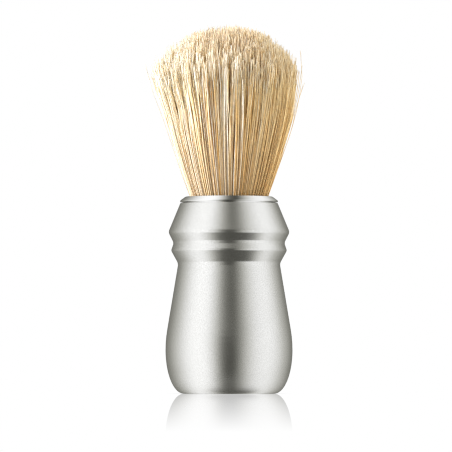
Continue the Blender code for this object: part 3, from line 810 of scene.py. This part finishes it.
def grow_bristles():
    """Places in the knot, and the strands of every bristle and of the fine ends at its tip."""
    unit = disc_points(BRISTLE_COUNT)
    tufts = disc_points(TUFT_COUNT)
    tuft = nearest_index(unit, tufts)
    unit = unit + rng.uniform(*TUFT_GATHER, BRISTLE_COUNT)[:, None] * (tufts[tuft] - unit)
    reach = np.hypot(unit[:, 0], unit[:, 1])
    locks = disc_points(LOCK_COUNT)
    lock = nearest_index(unit, locks)
    lean = rng.normal(0.0, LOCK_LEAN, (LOCK_COUNT, 2))[lock]
    lean += rng.normal(0.0, TUFT_LEAN, (TUFT_COUNT, 2))[tuft]
    lean += rng.normal(0.0, OWN_LEAN, (BRISTLE_COUNT, 2))
    pull = rng.uniform(*LOCK_GATHER, BRISTLE_COUNT)
    stray = (rng.random(BRISTLE_COUNT) < STRAY_SHARE) & (reach > 0.8)
    splay = np.where(stray, rng.uniform(*STRAY_SPLAY, BRISTLE_COUNT), 0.0)
    tip_z = tip_heights(reach, stray)
    for index, (degrees, outwards, height) in enumerate(STRAYS):
        side = math.radians(degrees)
        unit[index] = (math.cos(side), math.sin(side))
        lean[index] = 0.0
        pull[index], splay[index], tip_z[index], stray[index] = 0.0, outwards, height, True
    reach = np.hypot(unit[:, 0], unit[:, 1])
    flag_length = rng.uniform(*FLAG_LENGTH_MM, BRISTLE_COUNT) * MM
    shaft_z = tip_z - flag_length
    share = np.linspace(0.0, 1.0, SHAFT_STEPS + 1)[None, :]
    z = COLLAR_Z + share * (shaft_z - COLLAR_Z)[:, None]
    travel = (z - COLLAR_Z) / (tip_z - COLLAR_Z)[:, None]
    waves = rng.uniform(0.6, 2.4, (BRISTLE_COUNT, 2))
    phases = rng.uniform(0.0, math.tau, (BRISTLE_COUNT, 2))
    swing = np.abs(rng.normal(0.0, 0.30, (BRISTLE_COUNT, 2))) * MM

    gather = (pull[:, None] * smoothstep((travel - 0.1) / 0.9))[:, :, None]
    spot = unit[:, None, :] + gather * (locks[lock] - unit)[:, None, :]
    spot = spot + lean[:, None, :] * travel[:, :, None] ** 2
    tuck = TIP_TUCK * smoothstep((z - TUCK_Z) / (tip_z - TUCK_Z)[:, None])
    spot = spot * (1.0 + splay[:, None] * travel**1.5 - tuck)[:, :, None]
    flat = spot * knot_radius(z)[:, :, None]
    swell = SIDE_SWELL * smoothstep((z - SWELL_Z[0]) / (SWELL_Z[1] - SWELL_Z[0]))
    flat *= (1.0 - swell * unit[:, :1])[:, :, None]
    turn = math.tau * waves[:, None, :] * travel[:, :, None] + phases[:, None, :]
    flat = flat + swing[:, None, :] * travel[:, :, None] ** 1.2 * np.sin(turn)
    shaft = np.concatenate([flat, z[:, :, None]], axis=2)

    direction = unit / np.maximum(reach, 1e-6)[:, None]
    ring_radius = np.sqrt(FOOT_INNER**2 + (FOOT_OUTER**2 - FOOT_INNER**2) * reach**2)
    foot_rings = []
    for foot_z, spread in FOOT_RINGS:
        flat = direction * ring_radius[:, None] * (1.0 - spread) + shaft[:, 0, :2] * spread
        foot_rings.append(np.concatenate([flat, np.full((BRISTLE_COUNT, 1), foot_z)], axis=1))
    centres = np.concatenate([np.stack(foot_rings, axis=1), shaft], axis=1)
    along = np.concatenate([np.zeros((BRISTLE_COUNT, len(FOOT_RINGS))), travel], axis=1)
    thinning = np.where(stray, STRAY_THINNING, 1.0)
    thickest = rng.uniform(*THICKNESS_MM, BRISTLE_COUNT) * MM * thinning
    radii = thickest[:, None] * (0.72 + 0.28 * smoothstep(along / 0.5)) * (1.0 - 0.12 * along**3)
    spin = rng.uniform(0.0, math.tau, BRISTLE_COUNT)
    tone = bristle_tones(unit, reach, tuft)
    flags = grow_flags(shaft, travel, radii, spin, tone, flag_length)
    return unit, (centres, radii, spin, along, tone), flags


def chosen(strands, mask):
    """The strands of one set that a mask picks."""
    return tuple(values[mask] for values in strands)


BRISTLE_COLOURS = (
    (0.00, (0.820, 0.610, 0.335, 1.0)),
    (0.45, (0.905, 0.720, 0.430, 1.0)),
    (0.85, (0.950, 0.805, 0.520, 1.0)),
    (1.00, (0.910, 0.785, 0.545, 1.0)),
)
# Tones from dark hairs to pale ones; the low orange end also carries the painted shade deep in the knot,
# and the pale top carries the painted side light on the left.
BRISTLE_TONES = (
    (0.000, (0.28, 0.22, 0.18, 1.0)),
    (0.030, (0.36, 0.25, 0.16, 1.0)),
    (0.080, (0.74, 0.46, 0.20, 1.0)),
    (0.250, (0.96, 0.76, 0.44, 1.0)),
    (0.450, (1.00, 0.92, 0.72, 1.0)),
    (0.700, (1.02, 1.02, 0.98, 1.0)),
    (1.000, (1.05, 1.18, 1.48, 1.0)),
)


def make_bristle_material():
    """Natural bristle: honey roots, pale tips, and a tone of its own for every hair, which also carries
    painted shade deep in the knot and painted side light at the two sides.
    """
    material, tree, shader, place = new_material("natural_bristle")
    along = add_node(tree, "ShaderNodeAttribute", attribute_name="along").outputs["Fac"]
    tone = add_node(tree, "ShaderNodeAttribute", attribute_name="tone").outputs["Fac"]
    base = ramp(tree, along, BRISTLE_COLOURS)
    tint = ramp(tree, tone, BRISTLE_TONES)
    strength = remap(tree, along, 0.80, 1.0, 1.0, 0.45)
    hair = blend(tree, strength, base, tint, mode="MULTIPLY")
    streak = noise(tree, place, 900.0, detail=1.0)
    streaks = ramp(tree, streak, ((0.3, grey(0.85)), (0.7, grey(1.15))))
    hair = blend(tree, 0.5, hair, streaks, mode="MULTIPLY")
    feed(tree, shader.inputs["Base Color"], hair)
    shader.inputs["Roughness"].default_value = 0.40
    shader.inputs["Specular IOR Level"].default_value = 0.18
    return material


def make_bristles():
    """The knot, cut into sectors so that no piece is too heavy."""
    unit, shafts, flags = grow_bristles()
    material = make_bristle_material()
    angle = np.arctan2(unit[:, 1], unit[:, 0])
    sector = np.floor((angle + math.pi) / math.tau * SECTORS).astype(int) % SECTORS
    for index in range(SECTORS):
        mask = sector == index
        sets = [chosen(strands, mask) for strands in [shafts] + flags]
        piece = make_strand_piece(f"bristles_{index + 1:02d}", sets)
        piece.data.materials.append(material)
        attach(piece, "root")
        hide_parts("bristle_bundle")


# ---------------------------------------------------------------- rubber that shows
PAD_RADIUS = 12.3 * MM
PAD_THICKNESS = 0.8 * MM
PAD_GROOVES = (4.8 * MM, 7.4 * MM, 10.0 * MM)
PAD_GROOVE_WIDTH = 0.7 * MM
PAD_GROOVE_DEPTH = 0.3 * MM
PAD_EASE = 0.08 * MM


def make_base_pad():
    """The grooved rubber pad under the base."""
    corners = [
        (0.0, PAD_THICKNESS, 0.0),
        (PAD_RADIUS, PAD_THICKNESS, 0.15 * MM),
        (PAD_RADIUS, 0.0, 0.12 * MM),
    ]
    for groove_radius in reversed(PAD_GROOVES):
        groove_outer = groove_radius + PAD_GROOVE_WIDTH
        corners += [
            (groove_outer, 0.0, PAD_EASE),
            (groove_outer, PAD_GROOVE_DEPTH, PAD_EASE),
            (groove_radius, PAD_GROOVE_DEPTH, PAD_EASE),
            (groove_radius, 0.0, PAD_EASE),
        ]
    corners.append((0.0, 0.0, 0.0))
    pad = turned("base_pad_rubber", subdivided(rounded_outline(corners), 1.2 * MM))
    pad.data.materials.append(make_rubber("pad_rubber_matt", (0.030, 0.030, 0.031), 0.72, 1500.0))
    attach(pad, "root")
    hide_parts("base_pad")


def make_gasket():
    """The dark ring in the parting line under the ferrule."""
    low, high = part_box("ferrule_gasket")
    inner = SLEEVE_RADIUS + GAP
    outline = rounded_outline([
        (inner, high.z, PAD_EASE),
        (high.x, high.z, PAD_EASE),
        (high.x, low.z, PAD_EASE),
        (inner, low.z, PAD_EASE),
    ], closed=True)
    gasket = turned("gasket_ring", subdivided(outline, 0.5 * MM, closed=True), closed=True)
    gasket.data.materials.append(make_rubber("gasket_rubber_black", (0.022, 0.022, 0.022), 0.6, 2500.0))
    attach(gasket, "root")
    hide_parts("ferrule_gasket")


def make_rubber(name, colour, roughness, grain):
    material, tree, shader, place = new_material(name)
    rubber(tree, shader, place, colour, roughness, grain)
    return material


# ---------------------------------------------------------------- looks of the hidden pieces
def rubber(tree, shader, place, colour, roughness, grain):
    """Matt rubber with a fine dusty speckle."""
    speckle = noise(tree, place, grain, detail=4.0)
    dusty = (*(1.9 * value for value in colour), 1.0)
    feed(tree, shader.inputs["Base Color"], blend(tree, speckle, (*colour, 1.0), dusty))
    chalk = remap(tree, speckle, 0.2, 0.8, roughness - 0.08, roughness + 0.08)
    feed(tree, shader.inputs["Roughness"], chalk)
    feed(tree, shader.inputs["Normal"], bump(tree, speckle, 0.25, 0.03 * MM))


def turned_metal(tree, shader, place, colour, roughness, pitch):
    """Metal with fine tool marks that run round the Z axis."""
    travel = add_node(tree, "ShaderNodeCombineXYZ")
    feed(tree, travel.inputs["X"], vector_calc(tree, "LENGTH", from_axis(tree, place)))
    feed(tree, travel.inputs["Z"], split(tree, place)["Z"])
    marks = noise(tree, travel.outputs[0], 1.0 / pitch, detail=3.0)
    stain = noise(tree, place, 160.0, detail=3.0)
    bright = (*(min(1.0, 1.18 * value) for value in colour), 1.0)
    dull = (*(0.84 * value for value in colour), 1.0)
    stained = (*(0.7 * value for value in colour), 1.0)
    tint = blend(tree, marks, dull, bright)
    tint = blend(tree, remap(tree, stain, 0.4, 0.8, 0.0, 0.35), tint, stained)
    feed(tree, shader.inputs["Base Color"], tint)
    shader.inputs["Metallic"].default_value = 1.0
    polish = remap(tree, marks, 0.2, 0.8, roughness - 0.06, roughness + 0.08)
    feed(tree, shader.inputs["Roughness"], polish)
    feed(tree, shader.inputs["Normal"], bump(tree, marks, 0.15, 0.02 * MM))


def set_resin(tree, shader, place, colour, roughness, coat):
    """Set resin or glue: amber, a little cloudy, with small bubbles."""
    cloud = noise(tree, place, 220.0, detail=5.0)
    bubbles = add_node(tree, "ShaderNodeTexVoronoi")
    feed(tree, bubbles.inputs["Vector"], place)
    bubbles.inputs["Scale"].default_value = 900.0
    dark = (*(0.55 * value for value in colour), 1.0)
    tint = blend(tree, remap(tree, cloud, 0.3, 0.7), dark, (*colour, 1.0))
    rim = remap(tree, bubbles.outputs["Distance"], 0.05, 0.16, 0.35, 0.0)
    feed(tree, shader.inputs["Base Color"], blend(tree, rim, tint, (0.9, 0.8, 0.6, 1.0)))
    feed(tree, shader.inputs["Roughness"], remap(tree, cloud, 0.3, 0.7, roughness, roughness + 0.12))
    shader.inputs["Coat Weight"].default_value = coat


def wound_cord(tree, shader, place):
    """Cotton cord: fine plies that lean across each turn."""
    parts = split(tree, place)
    angle = calc(tree, "ARCTAN2", parts["Y"], parts["X"])
    lean = calc(tree, "MULTIPLY_ADD", parts["Z"], 5200.0, calc(tree, "MULTIPLY", angle, 110.0))
    ply = calc(tree, "SINE", lean)
    fibre = noise(tree, place, 2600.0, detail=4.0)
    height = calc(tree, "MULTIPLY_ADD", ply, 0.5, fibre)
    tint = blend(tree, remap(tree, height, 0.0, 1.1), (0.42, 0.36, 0.26, 1.0), (0.86, 0.82, 0.72, 1.0))
    feed(tree, shader.inputs["Base Color"], tint)
    feed(tree, shader.inputs["Roughness"], remap(tree, fibre, 0.3, 0.7, 0.82, 0.95))
    feed(tree, shader.inputs["Normal"], bump(tree, height, 0.5, 0.06 * MM))


def turned_wood(tree, shader, place):
    """Pale hardwood with its grain along Z."""
    stretch = add_node(tree, "ShaderNodeMapping")
    feed(tree, stretch.inputs["Vector"], place)
    stretch.inputs["Scale"].default_value = (1.0, 1.0, 0.12)
    grain = noise(tree, stretch.outputs[0], 1400.0, detail=5.0)
    rings = noise(tree, stretch.outputs[0], 330.0, detail=2.0)
    tint = blend(tree, remap(tree, grain, 0.3, 0.7), (0.44, 0.28, 0.14, 1.0), (0.66, 0.48, 0.29, 1.0))
    tint = blend(tree, remap(tree, rings, 0.45, 0.6, 0.0, 0.4), tint, (0.36, 0.21, 0.10, 1.0))
    feed(tree, shader.inputs["Base Color"], tint)
    feed(tree, shader.inputs["Roughness"], remap(tree, grain, 0.3, 0.7, 0.6, 0.75))
    feed(tree, shader.inputs["Normal"], bump(tree, grain, 0.3, 0.04 * MM))


INNER_LOOKS = {
    "socket_adhesive": (set_resin, ((0.62, 0.48, 0.25), 0.25, 0.3)),
    "root_binding": (wound_cord, ()),
    "resin_plug": (set_resin, ((0.50, 0.29, 0.09), 0.12, 0.8)),
    "core_plug": (turned_wood, ()),
    "balance_weight": (turned_metal, ((0.42, 0.42, 0.43), 0.42, 0.25 * MM)),
    "weight_screw": (turned_metal, ((0.58, 0.58, 0.60), 0.28, 0.12 * MM)),
    "screw_washer": (rubber, ((0.045, 0.045, 0.045), 0.6, 2200.0)),
    "base_plate": (turned_metal, ((0.62, 0.62, 0.62), 0.34, 0.18 * MM)),
    "base_seal": (rubber, ((0.025, 0.025, 0.025), 0.42, 3000.0)),
    "retaining_ring": (turned_metal, ((0.30, 0.30, 0.31), 0.34, 0.3 * MM)),
}


def dress_inner_pieces():
    """Gives each CAD solid that stays its material, smooth shading and eased edges."""
    for node, (look, settings) in INNER_LOOKS.items():
        solid = bpy.data.objects[node]
        material = solid.data.materials[0]
        material.use_nodes = True
        tree = material.node_tree
        place = add_node(tree, "ShaderNodeTexCoord").outputs["Object"]
        look(tree, tree.nodes["Principled BSDF"], place, *settings)
        for title in ("custom_normal", "sharp_edge", "sharp_face"):
            attribute = solid.data.attributes.get(title)
            if attribute is not None:
                solid.data.attributes.remove(attribute)
        solid.data.shade_smooth()
        weld = solid.modifiers.new("Weld", "WELD")
        weld.merge_threshold = 0.002 * MM
        edges = solid.modifiers.new("Edges", "BEVEL")
        edges.width = 0.05 * MM
        edges.segments = 2
        edges.limit_method = "ANGLE"
        edges.angle_limit = SHARP_ANGLE


# ---------------------------------------------------------------- build
bpy.context.scene.view_settings.view_transform = "Standard"
cycles = bpy.context.scene.cycles
cycles.use_denoising = True
cycles.denoising_input_passes = "RGB_ALBEDO_NORMAL"
cycles.denoising_prefilter = "ACCURATE"
cycles.filter_width = 1.25
cycles.diffuse_bounces = 8
make_camera()
make_studio()
make_key_light()
make_floor()
make_handle()
make_ferrule()
make_bristles()
make_gasket()
make_base_pad()
dress_inner_pieces()
